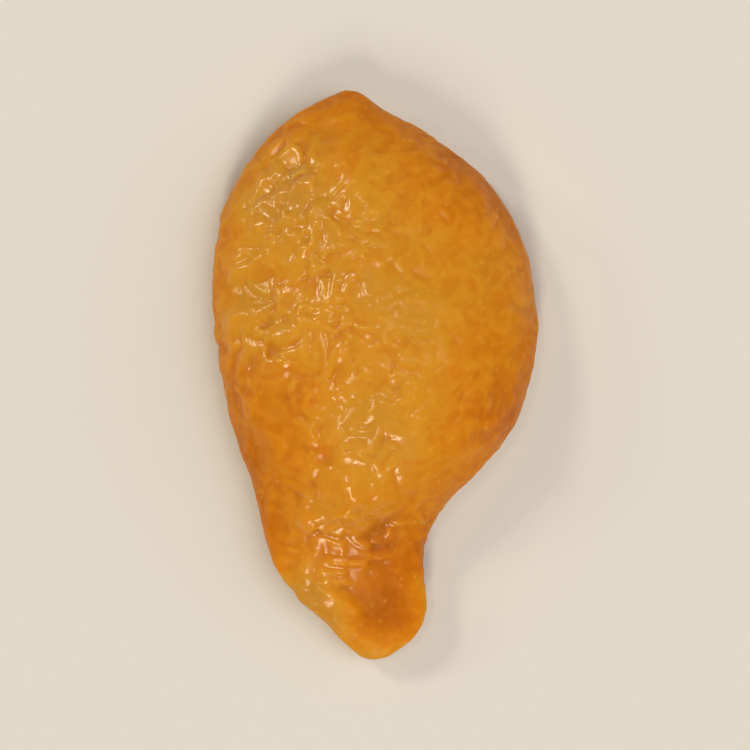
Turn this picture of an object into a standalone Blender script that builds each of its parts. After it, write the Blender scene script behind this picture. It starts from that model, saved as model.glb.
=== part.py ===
"""A dried apricot half, resting cut side down with its skin up.

The fruit is one solid. +Y runs from the tail, where the flesh was drawn out into a
tongue, to the pointed stem end, +X is across and +Z is up. The origin is on the
surface that the fruit rests on, under the middle of its outline. All sizes are in
metres.
"""

import math

import bmesh
import bpy
import numpy as np
from mathutils import Vector, noise

NAME = "apricot_half"

# Size of the fruit
LENGTH = 0.048
HALF_LENGTH = LENGTH / 2

# Outline seen from above: place along Y, X of the middle line, and the half-width of
# the ellipse of this length that is as wide as the fruit there
OUTLINE = (
    (-0.0240, -0.0003, 0.0074),
    (-0.0218, 0.0002, 0.0078),
    (-0.0196, -0.0004, 0.0083),
    (-0.0172, -0.0017, 0.0084),
    (-0.0140, -0.0024, 0.0083),
    (-0.0108, -0.0020, 0.0089),
    (-0.0078, -0.0010, 0.0105),
    (-0.0045, -0.0002, 0.0120),
    (0.0000, 0.0001, 0.0130),
    (0.0055, 0.0000, 0.0140),
    (0.0110, -0.0004, 0.0146),
    (0.0150, -0.0010, 0.0145),
    (0.0180, -0.0015, 0.0136),
    (0.0205, -0.0021, 0.0118),
    (0.0225, -0.0025, 0.0090),
    (0.0240, -0.0021, 0.0062),
)

# Height of the skin's crown above the widest line, along Y
CROWN = (
    (-0.0240, 0.0024),
    (-0.0205, 0.0028),
    (-0.0170, 0.0028),
    (-0.0135, 0.0032),
    (-0.0100, 0.0046),
    (-0.0055, 0.0061),
    (0.0010, 0.0069),
    (0.0080, 0.0070),
    (0.0140, 0.0066),
    (0.0185, 0.0057),
    (0.0215, 0.0046),
    (0.0240, 0.0036),
)
# The crown's section is flatter on top than an ellipse, and its right side is fuller
CROWN_FLATNESS = 2.5
CROWN_LEAN = 0.10

# Height of the hollow's roof above the low edge of the lip, along Y
ROOF = (
    (-0.0240, 0.0),
    (-0.0150, 0.0),
    (-0.0110, 0.0012),
    (-0.0050, 0.0032),
    (0.0040, 0.0036),
    (0.0130, 0.0033),
    (0.0190, 0.0015),
    (0.0240, 0.0),
)
# The stone's print in the roof: its middle, half-sizes, depth, and the seam along it
PRINT_MIDDLE = (0.0, 0.0045)
PRINT_HALF_WIDTH = 0.0068
PRINT_HALF_LENGTH = 0.0108
PRINT_DEPTH = 0.0004
PRINT_EDGE = 0.16
SEAM_HEIGHT = 0.00035
SEAM_WIDTH = 0.0009

# The lip: height of the widest line above the lip's low edge, how far in from the
# outline that edge lies, and how far the slope up to the roof reaches
RIM_HEIGHT = 0.0024
LIP_WIDTH = 0.0022
LIP_SLOPE = 0.0058

# The fruit stands on three low points: X, Y and reach of each. Between them the lip
# arches up, and at each one it is pressed flat against the surface
RESTS = (
    (-0.0098, 0.0090, 0.0066),
    (0.0108, 0.0062, 0.0066),
    (-0.0004, -0.0200, 0.0046),
)
LIP_ARCH = 0.0013
RIM_FOLLOWS_ARCH = 0.85
PRESSED_IN = 0.00036
# How much of the relief a low point loses
REST_CALM = 0.85

# The furrow round the side where the skin ends and the cut flesh begins
SKIN_EDGE_DROP = 0.22
SKIN_EDGE_WIDTH = 0.09
SKIN_EDGE_DEPTH = 0.00018

# Relief. Each noise has a wavelength, a height to either side, and a seed that picks
# its own stretch of the noise
NOISE_GAIN = 1.6
FURROW_SOFTNESS = 0.02
SWELL_LENGTH = 0.0080
SWELL_HEIGHT = 0.00036
SWELL_SEED = 21.3
RIM_SWELL = 0.4
PUCKER_LENGTH = 0.0030
PUCKER_RUN = 0.0080
PUCKER_REACH = 0.0040
PUCKER_MIDDLE = 0.0028
PUCKER_HEIGHT = 0.00020
PUCKER_SEED = 5.7
CROSS_SPACING = 0.0023
CROSS_RUN = 0.0060
CROSS_HEIGHT = 0.00016
CROSS_SEED = 15.2
WARP_LENGTH = 0.0055
WARP_REACH = 0.0012
WARP_SEEDS = (3.1, 7.7, 11.9)
FIBRE_SPACING = 0.0026
FIBRE_RUN = 0.0110
FIBRE_HEIGHT = 0.00022
FIBRE_SEED = 31.4
# Crumpled skin: X, Y and reach of each stretch, and how crumpled the rest is
CRUMPLE_LENGTH = 0.0026
CRUMPLE_HEIGHT = 0.00020
CRUMPLE_SEED = 41.0
CRUMPLED = (
    (-0.0070, 0.0130, 0.0075),
    (-0.0105, 0.0040, 0.0055),
    (-0.0020, -0.0090, 0.0060),
)
CRUMPLE_ELSEWHERE = 0.35
# How far round the side the skin's relief gives way to the flesh's
SKIN_BLEND = 0.2
# How strong the skin's relief is at the tail, at the stem end and down the left flank
TAIL_RELIEF = 1.2
STEM_RELIEF = 0.9
LEFT_RELIEF = 1.5
# The neck between the body and the tail, where the folds are pulled smooth
NECK_PLACE = -0.0148
NECK_LENGTH = 0.0042
NECK_CALM = 0.75

# Dents and folds of the skin: start, end, width, and height, which is below zero
# where the skin sinks
CREASES = (
    ((-0.0085, -0.0155), (-0.0028, -0.0212), 0.0012, 0.00045),
    ((-0.0060, -0.0148), (-0.0012, -0.0196), 0.0012, -0.00040),
    ((0.0002, -0.0136), (0.0007, -0.0139), 0.0013, -0.00050),
    ((-0.0108, -0.0046), (-0.0075, -0.0120), 0.0013, -0.00028),
    ((-0.0095, 0.0150), (-0.0040, 0.0200), 0.0014, -0.00024),
    ((-0.0028, 0.0212), (-0.0014, 0.0165), 0.0014, 0.00022),
)

# Cells of the net that is drawn over the fruit, across, along and up
CELLS = (28, 46, 18)
# Lengths under this count as none
TINY = 1e-6

SKIN_COLOUR = (0.62, 0.25, 0.028, 1.0)
SKIN_ROUGHNESS = 0.36
SKIN_SUBSURFACE = 0.35
SKIN_SCATTER = (0.0024, 0.0009, 0.0003)

# Finishing: the net is evened out a little, and edges sharper than this stay sharp
EVEN_OUT = 0.3
EVEN_OUT_ROUNDS = 1
SMOOTH_ANGLE = math.radians(50)
SLOPE_STEP = 0.0002
SURFACE_THICKNESS = 0.004


def clear_scene():
    """Removes every object that the scene starts with."""
    for obj in list(bpy.data.objects):
        bpy.data.objects.remove(obj, do_unlink=True)


def new_collection(name):
    """Makes a collection in the scene."""
    collection = bpy.data.collections.new(name)
    bpy.context.scene.collection.children.link(collection)
    return collection


def along(rows, at, column=1):
    """Reads a column of rows at places along Y, with a smooth curve through the rows."""
    places = np.array([row[0] for row in rows])
    values = np.array([row[column] for row in rows])
    slopes = np.gradient(values, places)
    left = np.clip(np.searchsorted(places, at) - 1, 0, len(places) - 2)
    gap = places[left + 1] - places[left]
    share = np.clip((at - places[left]) / gap, 0.0, 1.0)
    back = 1.0 - share
    return (
        (1.0 + 2.0 * share) * back**2 * values[left]
        + share * back**2 * gap * slopes[left]
        + share**2 * (3.0 - 2.0 * share) * values[left + 1]
        - share**2 * back * gap * slopes[left + 1]
    )


def ease(share):
    """A smooth step from 0 to 1."""
    share = np.clip(share, 0.0, 1.0)
    return share * share * (3.0 - 2.0 * share)


def grain(points, lengths, seed):
    """Smooth noise from -1 to 1, with one wavelength or one along each axis."""
    scaled = points / np.array(lengths) + seed
    return NOISE_GAIN * np.array([noise.noise(Vector(point)) for point in scaled])


def ridges(values):
    """Turns smooth noise into rounded folds with narrow furrows between them."""
    return 1.0 - 2.0 * np.sqrt(np.abs(values) + FURROW_SOFTNESS)


def net_of_cells():
    """A ball with an even net of four-sided cells, drawn from a divided cube."""
    net = bmesh.new()
    bmesh.ops.create_cube(net, size=2.0)
    for axis, cells in enumerate(CELLS):
        edges = [e for e in net.edges if abs((e.verts[0].co - e.verts[1].co)[axis]) > TINY]
        bmesh.ops.subdivide_edges(net, edges=edges, cuts=cells - 1, use_grid_fill=True)
    for vert in net.verts:
        vert.co = Vector(math.tan(c * math.pi / 4) for c in vert.co).normalized()
    mesh = bpy.data.meshes.new(NAME)
    net.to_mesh(mesh)
    net.free()
    return mesh


def points_of(mesh):
    """The mesh's vertices as rows of x, y and z."""
    points = np.empty(len(mesh.vertices) * 3)
    mesh.vertices.foreach_get("co", points)
    return points.reshape(-1, 3)


def normals_of(mesh):
    """The mesh's vertex normals as rows of x, y and z."""
    return np.array([vertex.normal for vertex in mesh.vertices])


def place_points(mesh, points):
    """Moves the mesh's vertices to these points."""
    mesh.vertices.foreach_set("co", points.ravel())
    mesh.update()


def nearness(x, y, place):
    """How near a place with an X, a Y and a reach is, from 1 on it to 0 far from it."""
    middle_x, middle_y, reach = place
    return np.exp(-((x - middle_x) ** 2 + (y - middle_y) ** 2) / reach**2)


def nearness_to_rests(x, y):
    """How near the closest rest is, from 1 on it to 0 far from it."""
    return np.max([nearness(x, y, rest) for rest in RESTS], axis=0)


def print_of_stone(x, y):
    """The oval print that the stone left in the roof, with the seam along its middle."""
    across = (x - PRINT_MIDDLE[0]) / PRINT_HALF_WIDTH
    lengthwise = (y - PRINT_MIDDLE[1]) / PRINT_HALF_LENGTH
    inside = ease((1.0 - np.hypot(across, lengthwise)) / PRINT_EDGE)
    seam = np.exp(-((x - PRINT_MIDDLE[0]) ** 2) / SEAM_WIDTH**2)
    return PRINT_DEPTH * inside - SEAM_HEIGHT * seam * inside


def slope_of(rows, at, column):
    """How fast a column of rows changes along Y."""
    ahead = np.minimum(at + SLOPE_STEP, HALF_LENGTH)
    behind = np.maximum(at - SLOPE_STEP, -HALF_LENGTH)
    return (along(rows, ahead, column) - along(rows, behind, column)) / (ahead - behind)


def distance_from_rim(ball, y, girth):
    """How far in from the outline each point lies, seen from above."""
    reach = np.maximum(np.hypot(ball[:, 0], ball[:, 1]), TINY)
    bend = slope_of(OUTLINE, y, 1) + slope_of(OUTLINE, y, 2) * ball[:, 0]
    rate_x = ball[:, 0] / reach / girth
    rate_y = ball[:, 1] / reach / HALF_LENGTH - rate_x * bend
    return (1.0 - reach) / np.hypot(rate_x, rate_y)


def body_points(ball):
    """Draws the ball's net over the fruit: skin on the upper half, flesh on the lower."""
    reach = np.hypot(ball[:, 0], ball[:, 1])
    y = HALF_LENGTH * ball[:, 1]
    girth = along(OUTLINE, y, 2)
    x = along(OUTLINE, y, 1) + girth * ball[:, 0]
    inward = distance_from_rim(ball, y, girth)

    arch = LIP_ARCH * (1.0 - nearness_to_rests(x, y))
    low = arch - PRESSED_IN
    rim = RIM_HEIGHT + RIM_FOLLOWS_ARCH * arch

    dome = np.sqrt(np.clip(1.0 - reach**CROWN_FLATNESS, 0.0, 1.0))
    skin = rim + along(CROWN, y) * dome * (1.0 + CROWN_LEAN * ball[:, 0])

    turn = np.clip(1.0 - inward / LIP_WIDTH, 0.0, 1.0)
    lip = low + (rim - low) * (1.0 - np.sqrt(1.0 - turn**2))
    rise = ease((inward - LIP_WIDTH) / LIP_SLOPE)
    flesh = lip + (along(ROOF, y) + print_of_stone(x, y) * (along(ROOF, y) > 0)) * rise

    z = np.where(ball[:, 2] >= 0.0, skin, flesh)
    return np.column_stack((x, y, z)), inward


def crease_relief(points):
    """Height of the single dents and folds at each point, seen from above."""
    relief = np.zeros(len(points))
    flat = points[:, :2]
    for start, end, width, height in CREASES:
        start, run = np.array(start), np.subtract(end, start)
        share = np.clip((flat - start) @ run / (run @ run), 0.0, 1.0)
        off = np.linalg.norm(flat - start - share[:, None] * run, axis=1)
        relief += height * np.exp(-((off / width) ** 2))
    return relief


def nearest_rim(ball, inward):
    """The rim point that each point's ray ends at, with the way in from it."""
    reach = np.maximum(np.hypot(ball[:, 0], ball[:, 1]), TINY)
    y = HALF_LENGTH * ball[:, 1] / reach
    x = along(OUTLINE, y, 1) + along(OUTLINE, y, 2) * ball[:, 0] / reach
    return np.column_stack((x, y, inward))


def crumple_relief(points):
    """Height of the crumpled skin, strongest in its own stretches."""
    stretches = [nearness(points[:, 0], points[:, 1], stretch) for stretch in CRUMPLED]
    share = CRUMPLE_ELSEWHERE + (1.0 - CRUMPLE_ELSEWHERE) * np.max(stretches, axis=0)
    return -CRUMPLE_HEIGHT * share * ridges(grain(points, CRUMPLE_LENGTH, CRUMPLE_SEED))


def skin_relief(points, rim, inward):
    """Height of the skin's puckers, wrinkles and folds at each point."""
    warp = np.column_stack([grain(points, WARP_LENGTH, seed) for seed in WARP_SEEDS])
    warped = points + WARP_REACH * warp
    cross = ridges(grain(warped, (CROSS_RUN, CROSS_SPACING, CROSS_SPACING), CROSS_SEED))
    pucker = ridges(grain(rim, (PUCKER_LENGTH, PUCKER_LENGTH, PUCKER_RUN), PUCKER_SEED))
    edge = np.exp(-(((inward - PUCKER_MIDDLE) / PUCKER_REACH) ** 2))
    towards_tail = ease(0.5 - points[:, 1] / LENGTH)
    towards_left = ease(-points[:, 0] / HALF_LENGTH)
    strength = STEM_RELIEF + (TAIL_RELIEF - STEM_RELIEF) * towards_tail
    strength *= 1.0 + (LEFT_RELIEF - 1.0) * towards_left
    wrinkles = strength * (PUCKER_HEIGHT * pucker * edge + CROSS_HEIGHT * cross)
    return wrinkles + crumple_relief(warped) + crease_relief(points)


def flesh_relief(rim, inward):
    """Height of the fibres that run in from the lip."""
    fibre = ridges(grain(rim, (FIBRE_SPACING, FIBRE_SPACING, FIBRE_RUN), FIBRE_SEED))
    return FIBRE_HEIGHT * fibre * np.exp(-(((inward - LIP_SLOPE) / LIP_SLOPE) ** 2))


def relief(ball, points, inward):
    """How far each point moves along its normal."""
    upper = ease(0.5 + ball[:, 2] / SKIN_BLEND)
    calm = 1.0 - REST_CALM * (1.0 - upper) * nearness_to_rests(points[:, 0], points[:, 1])
    calm *= 1.0 - NECK_CALM * np.exp(-(((points[:, 1] - NECK_PLACE) / NECK_LENGTH) ** 2))
    rim = nearest_rim(ball, inward)
    swell_share = RIM_SWELL + (1.0 - RIM_SWELL) * ease(inward / SWELL_LENGTH)
    swell = SWELL_HEIGHT * swell_share * grain(points, SWELL_LENGTH, SWELL_SEED)
    skin_edge = np.exp(-(((ball[:, 2] + SKIN_EDGE_DROP) / SKIN_EDGE_WIDTH) ** 2))
    skin = upper * skin_relief(points, rim, inward)
    flesh = (1.0 - upper) * flesh_relief(rim, inward)
    return calm * (swell + skin + flesh) - SKIN_EDGE_DEPTH * skin_edge


def skin_material():
    """Golden skin that lets some light through."""
    material = bpy.data.materials.new("apricot_skin")
    material.use_nodes = True
    shader = material.node_tree.nodes["Principled BSDF"]
    shader.inputs["Base Color"].default_value = SKIN_COLOUR
    shader.inputs["Metallic"].default_value = 0.0
    shader.inputs["Roughness"].default_value = SKIN_ROUGHNESS
    shader.inputs["Subsurface Weight"].default_value = SKIN_SUBSURFACE
    shader.inputs["Subsurface Radius"].default_value = SKIN_SCATTER
    shader.inputs["Subsurface Scale"].default_value = 1.0
    return material


def make_fruit(collection):
    """The whole fruit as one mesh, not yet flattened underneath."""
    mesh = net_of_cells()
    ball = points_of(mesh)
    points, inward = body_points(ball)
    place_points(mesh, points)
    points = points + normals_of(mesh) * relief(ball, points, inward)[:, None]
    middle = (points[:, :2].min(axis=0) + points[:, :2].max(axis=0)) / 2
    points[:, :2] -= middle
    place_points(mesh, points)
    mesh.materials.append(skin_material())
    fruit = bpy.data.objects.new(NAME, mesh)
    collection.objects.link(fruit)
    return fruit


def make_surface(collection):
    """The top of what the fruit rests on, as a cutter that presses its low points flat."""
    bpy.ops.mesh.primitive_cube_add(
        size=1.0,
        location=(0.0, 0.0, -SURFACE_THICKNESS / 2),
        scale=(2 * LENGTH, 2 * LENGTH, SURFACE_THICKNESS),
    )
    surface = bpy.context.active_object
    surface.name = "resting_surface"
    for old in surface.users_collection:
        old.objects.unlink(surface)
    collection.objects.link(surface)
    surface.hide_render = True
    surface.display_type = "WIRE"
    return surface


def even_out(fruit):
    """Eases the net where the relief crowds it."""
    smooth = fruit.modifiers.new("even_out", "SMOOTH")
    smooth.factor = EVEN_OUT
    smooth.iterations = EVEN_OUT_ROUNDS


def press_flat(fruit, surface):
    """Cuts away what would sink into the resting surface."""
    cut = fruit.modifiers.new("resting_surface", "BOOLEAN")
    cut.operation = "DIFFERENCE"
    cut.solver = "EXACT"
    cut.object = surface


def shade(fruit):
    """Smooth skin, with the flattened spots kept flat."""
    fruit.data.shade_smooth()
    fruit.data.set_sharp_from_angle(angle=SMOOTH_ANGLE)


def main():
    clear_scene()
    fruit = make_fruit(new_collection(NAME))
    surface = make_surface(new_collection("cutters"))
    even_out(fruit)
    press_flat(fruit, surface)
    shade(fruit)


main()
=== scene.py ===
"""Looks of a dried apricot half that rests cut side down on a pale table.

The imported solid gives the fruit's form. This script lays a finer skin over that form,
raises its crinkles, folds and fibres, and dresses it in two finishes: the glossy golden
skin and the darker cut flesh underneath. All sizes are in metres.
"""

import logging
import math
from dataclasses import dataclass
from enum import Enum
from typing import Sequence

import bmesh
import bpy
import numpy as np
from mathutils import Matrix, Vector, kdtree, noise


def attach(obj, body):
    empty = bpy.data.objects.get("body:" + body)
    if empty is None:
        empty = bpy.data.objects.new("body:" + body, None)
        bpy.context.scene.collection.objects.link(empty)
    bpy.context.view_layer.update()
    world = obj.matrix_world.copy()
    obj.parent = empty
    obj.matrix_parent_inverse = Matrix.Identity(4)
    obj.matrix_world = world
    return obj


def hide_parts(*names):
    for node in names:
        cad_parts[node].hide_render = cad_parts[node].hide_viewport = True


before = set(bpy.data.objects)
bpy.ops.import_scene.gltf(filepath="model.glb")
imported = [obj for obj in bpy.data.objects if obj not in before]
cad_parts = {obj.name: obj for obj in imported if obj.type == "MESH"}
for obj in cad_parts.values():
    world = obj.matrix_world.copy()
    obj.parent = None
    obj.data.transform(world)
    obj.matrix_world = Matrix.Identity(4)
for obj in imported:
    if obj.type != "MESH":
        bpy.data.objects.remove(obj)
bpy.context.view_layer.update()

NODE = "apricot_half"
BODY = "root"
MM = 0.001

# What brings the noise to about -1 to 1, and what makes rounded folds of it
NOISE_GAIN = 1.6
RIDGE_GAIN = 2.0
RIDGE_DROP = 1.2

# How far apart in the noise two plates' leans are read, and the shift for each axis
LEAN_SPREAD = 7.3
LEAN_SHIFTS = (Vector((0.0, 0.0, 0.0)), Vector((31.4, 0.0, 0.0)), Vector((0.0, 47.2, 0.0)))

# The sockets of a colour mix, which share their names with those of other kinds of mix
MIX_SHARE, MIX_LOW, MIX_HIGH, MIX_RESULT = 0, 6, 7, 2

# How strongly the fruit's flesh bends light
REFRACTION = 1.45

log = logging.getLogger("apricot")

Colour = tuple[float, float, float]
Point = tuple[float, float]


class Side(Enum):
    """The two sides of the fruit. The value is the side's material slot."""

    SKIN = 0
    FLESH = 1


class Mask(Enum):
    """What is stored at each point of the skin for the finishes to read."""

    # Ripeness, with painted highlights on crests, painted shade in hollows and along the rim, and a
    # painted glow at the tail's edge.
    RIPENESS_AND_LIGHT = "ripeness"
    # Painted shade: the finishes deepen the colour where the relief sinks.
    FURROW_SHADE = "furrow"
    STICKY = "sticky"


def ease(share: np.ndarray) -> np.ndarray:
    """A smooth step from 0 to 1.

    Args:
        share: values, where 0 and below gives 0 and 1 and above gives 1.

    Returns:
        The eased values.
    """
    share = np.clip(share, 0.0, 1.0)
    return share * share * (3.0 - 2.0 * share)


def grain(points: np.ndarray, lengths: float | Sequence[float], seed: float) -> np.ndarray:
    """Smooth noise.

    Args:
        points: one row of x, y and z for each point.
        lengths: the wavelength, or one for each axis.
        seed: a shift that picks another stretch of the noise.

    Returns:
        A value from about -1 to 1 for each point.
    """
    scaled = points / np.array(lengths) + seed
    return np.array([noise.noise(Vector(point)) for point in scaled]) * NOISE_GAIN


def ridges(values: np.ndarray, softness: float) -> np.ndarray:
    """Turns smooth noise into rounded folds with narrow furrows between them.

    Args:
        values: noise from about -1 to 1.
        softness: how wide the bottom of a furrow is.

    Returns:
        Heights from about -1 in the furrows to 1 on the folds.
    """
    return RIDGE_GAIN * np.sqrt(np.abs(values) + softness) - RIDGE_DROP


def lean(middle: Vector) -> Vector:
    """Which way a plate leans and how far, always the same for one place.

    Args:
        middle: the plate's middle.

    Returns:
        The lean along each axis, from about -1 to 1.
    """
    return Vector([noise.noise(LEAN_SPREAD * middle + shift) for shift in LEAN_SHIFTS])


def plates(points: np.ndarray, size: float, flatness: float, seed: float) -> np.ndarray:
    """Small plates that each tilt their own way and run into each other softly.

    Args:
        points: one row of x, y and z for each point.
        size: how far apart the plates' middles are.
        flatness: how flat a plate is before it bends over to the next.
        seed: a shift that picks other plates.

    Returns:
        A height for each point, as a share of the size, where a plate tilts by up to 45 degrees.
    """
    heights = np.empty(len(points))
    for index, point in enumerate(points / size + seed):
        place = Vector(point)
        offs, middles = noise.voronoi(place)
        shares = [math.exp(-flatness * off * off) for off in offs]
        rises = [(place - middle).dot(lean(middle)) for middle in middles]
        rise = sum(share * own for share, own in zip(shares, rises))
        heights[index] = rise / sum(shares)
    return heights


def near_line(points: np.ndarray, start: Point, end: Point, width: float) -> np.ndarray:
    """How near each point lies to a line, seen from above.

    Args:
        points: one row of x, y and z for each point.
        start: the line's first end.
        end: the line's other end.
        width: how far from the line the value has fallen to about a third.

    Returns:
        1 on the line, falling to 0 away from it.
    """
    first = np.array(start)
    run = np.subtract(end, start)
    flat = points[:, :2] - first
    share = np.clip(flat @ run / (run @ run), 0.0, 1.0)
    off = np.linalg.norm(flat - share[:, None] * run, axis=1)
    return np.exp(-((off / width) ** 2))


@dataclass(frozen=True)
class Fold:
    """A short fold of the skin, seen from above.

    Attributes:
        start: one end of its crest.
        end: the other end.
        width: half its width.
        height: how far it stands out, or how deep it sinks where below zero.
    """

    start: Point
    end: Point
    width: float
    height: float


@dataclass(frozen=True)
class Band:
    """A long stretch of skin that differs from the rest, seen from above.

    Attributes:
        start: one end of its middle line.
        end: the other end.
        reach: how far it spreads to either side.
        strength: what it adds along its middle line.
    """

    start: Point
    end: Point
    reach: float
    strength: float

    def over(self, points: np.ndarray) -> np.ndarray:
        """What the band adds at each point.

        Args:
            points: one row of x, y and z for each point.

        Returns:
            The strength along the middle line, falling to 0 away from it.
        """
        return self.strength * near_line(points, self.start, self.end, self.reach)


@dataclass(frozen=True)
class Patch:
    """A round stretch of skin that differs from the rest, seen from above.

    Attributes:
        place: its middle.
        reach: how far it spreads.
        strength: what it adds at its middle.
    """

    place: Point
    reach: float
    strength: float

    def over(self, points: np.ndarray) -> np.ndarray:
        """What the patch adds at each point.

        Args:
            points: one row of x, y and z for each point.

        Returns:
            The strength in the middle, falling to 0 away from it.
        """
        off = np.hypot(points[:, 0] - self.place[0], points[:, 1] - self.place[1])
        return self.strength * np.exp(-((off / self.reach) ** 2))


def total(patches: Sequence[Patch], points: np.ndarray) -> np.ndarray:
    """What several patches add together at each point, from 0 to 1.

    Args:
        patches: the patches.
        points: one row of x, y and z for each point.

    Returns:
        The sum for each point, stopped at 0 and 1.
    """
    return np.clip(sum(patch.over(points) for patch in patches), 0.0, 1.0)


@dataclass(frozen=True)
class FoldCluster:
    """Short folds that gather round one place.

    Attributes:
        patch: where they gather, how far they spread, and their share of the full height.
        count: how many there are.
        turn: which way most of them run, in degrees from X.
    """

    patch: Patch
    count: int
    turn: float


@dataclass(frozen=True)
class Amount:
    """How much of its full height a kind of relief has on two kinds of surface.

    Attributes:
        base: its share of the height where a stretch of the other kind is absent.
        change: what that stretch adds to the share at its strongest.
    """

    base: float
    change: float

    def over(self, stretch: np.ndarray) -> np.ndarray:
        """The share of the full height at each point, from how strong the stretch is there."""
        return self.base + self.change * stretch


@dataclass(frozen=True)
class Seeds:
    """Shifts that pick a stretch of the noise for each kind of relief and tone.

    Attributes:
        warp: for the noise that carries the crinkles off their lines, one for each axis.
        plate: for the small tilted plates.
        leather: for the leathery crinkles.
        fleck: for the thin raised wrinkles.
        cluster: for the clusters of crumpled skin.
        bump: for the fine bumps.
        fleck_break: for the breaks between wrinkles.
        edge: for the line where skin ends and flesh begins.
        stripe: for the stripes.
        fibre: for the fibres of the flesh.
        lump: for the lumps in the flesh.
        tone: for the skin's wide drifts of colour.
        flesh_tone: for those of the flesh.
        folds: for the draws that scatter the small folds.
    """

    warp: tuple[float, float, float] = (1.7, 9.3, 17.9)
    plate: float = 23.0
    leather: float = 41.0
    fleck: float = 43.0
    cluster: float = 47.0
    bump: float = 53.0
    fleck_break: float = 59.0
    edge: float = 61.0
    stripe: float = 71.0
    fibre: float = 81.0
    lump: float = 91.0
    tone: float = 101.0
    flesh_tone: float = 111.0
    folds: int = 7


class NodeSheet:
    """Places shader nodes in a tree and joins them."""

    def __init__(self, tree: bpy.types.NodeTree) -> None:
        """Starts on a tree.

        Args:
            tree: the tree that the nodes go in.
        """
        self.tree = tree

    def node(self, kind: str, **settings: object) -> bpy.types.Node:
        """Adds a node.

        Args:
            kind: the node's type name.
            settings: its properties.

        Returns:
            The new node.
        """
        made = self.tree.nodes.new(kind)
        for name, value in settings.items():
            setattr(made, name, value)
        return made

    def join(self, output: bpy.types.NodeSocket, socket: bpy.types.NodeSocket) -> None:
        """Joins an output to an input."""
        self.tree.links.new(output, socket)

    def put(self, value: object, socket: bpy.types.NodeSocket) -> None:
        """Joins an output to an input, or sets the input where the value is plain.

        Args:
            value: an output, or a plain value.
            socket: the input.
        """
        if isinstance(value, bpy.types.NodeSocket):
            self.join(value, socket)
        else:
            socket.default_value = value

    def feed(self, made: bpy.types.Node, **inputs: object) -> bpy.types.Node:
        """Sets or joins a node's inputs by name, with underscores for spaces.

        Args:
            made: the node.
            inputs: plain values, or the outputs to join.

        Returns:
            The same node.
        """
        for name, value in inputs.items():
            self.put(value, made.inputs[name.replace("_", " ")])
        return made

    def maths(self, operation: str, first: object, second: object) -> bpy.types.NodeSocket:
        """Works out one value from two.

        Args:
            operation: the Math node's operation.
            first: a number or an output.
            second: a number or an output.

        Returns:
            The result's output.
        """
        made = self.node("ShaderNodeMath", operation=operation)
        self.put(first, made.inputs[0])
        self.put(second, made.inputs[1])
        return made.outputs[0]

    def blend(
        self, share: object, low: object, high: object, kind: str = "MIX"
    ) -> bpy.types.NodeSocket:
        """Mixes two colours.

        Args:
            share: how much of the second colour, as a number or an output.
            low: the first colour.
            high: the second colour.
            kind: the way they are mixed.

        Returns:
            The mixed colour's output.
        """
        made = self.node("ShaderNodeMix", data_type="RGBA", blend_type=kind)
        self.put(share, made.inputs[MIX_SHARE])
        for index, colour in ((MIX_LOW, low), (MIX_HIGH, high)):
            opaque = (*colour, 1.0) if isinstance(colour, tuple) else colour
            self.put(opaque, made.inputs[index])
        return made.outputs[MIX_RESULT]

    def span(
        self, value: object, low: float, high: float, start: float, end: float
    ) -> bpy.types.NodeSocket:
        """Moves a value from one range to another, and stops it at the ends.

        Args:
            value: the output to read.
            low: where the first range starts.
            high: where it ends.
            start: what low becomes.
            end: what high becomes.

        Returns:
            The new value's output.
        """
        made = self.node("ShaderNodeMapRange", clamp=True)
        self.feed(made, Value=value, From_Min=low, From_Max=high, To_Min=start, To_Max=end)
        return made.outputs["Result"]


def new_group(name: str, inputs: dict[str, str], outputs: dict[str, str]) -> bpy.types.NodeTree:
    """Makes an empty node group with named sockets.

    Args:
        name: the group's name.
        inputs: socket types by input name.
        outputs: socket types by output name.

    Returns:
        The group's tree, with its input and output nodes in place.
    """
    group = bpy.data.node_groups.new(name, "ShaderNodeTree")
    for label, kind in inputs.items():
        group.interface.new_socket(name=label, in_out="INPUT", socket_type=kind)
    for label, kind in outputs.items():
        group.interface.new_socket(name=label, in_out="OUTPUT", socket_type=kind)
    group.nodes.new("NodeGroupInput")
    group.nodes.new("NodeGroupOutput")
    return group


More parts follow.
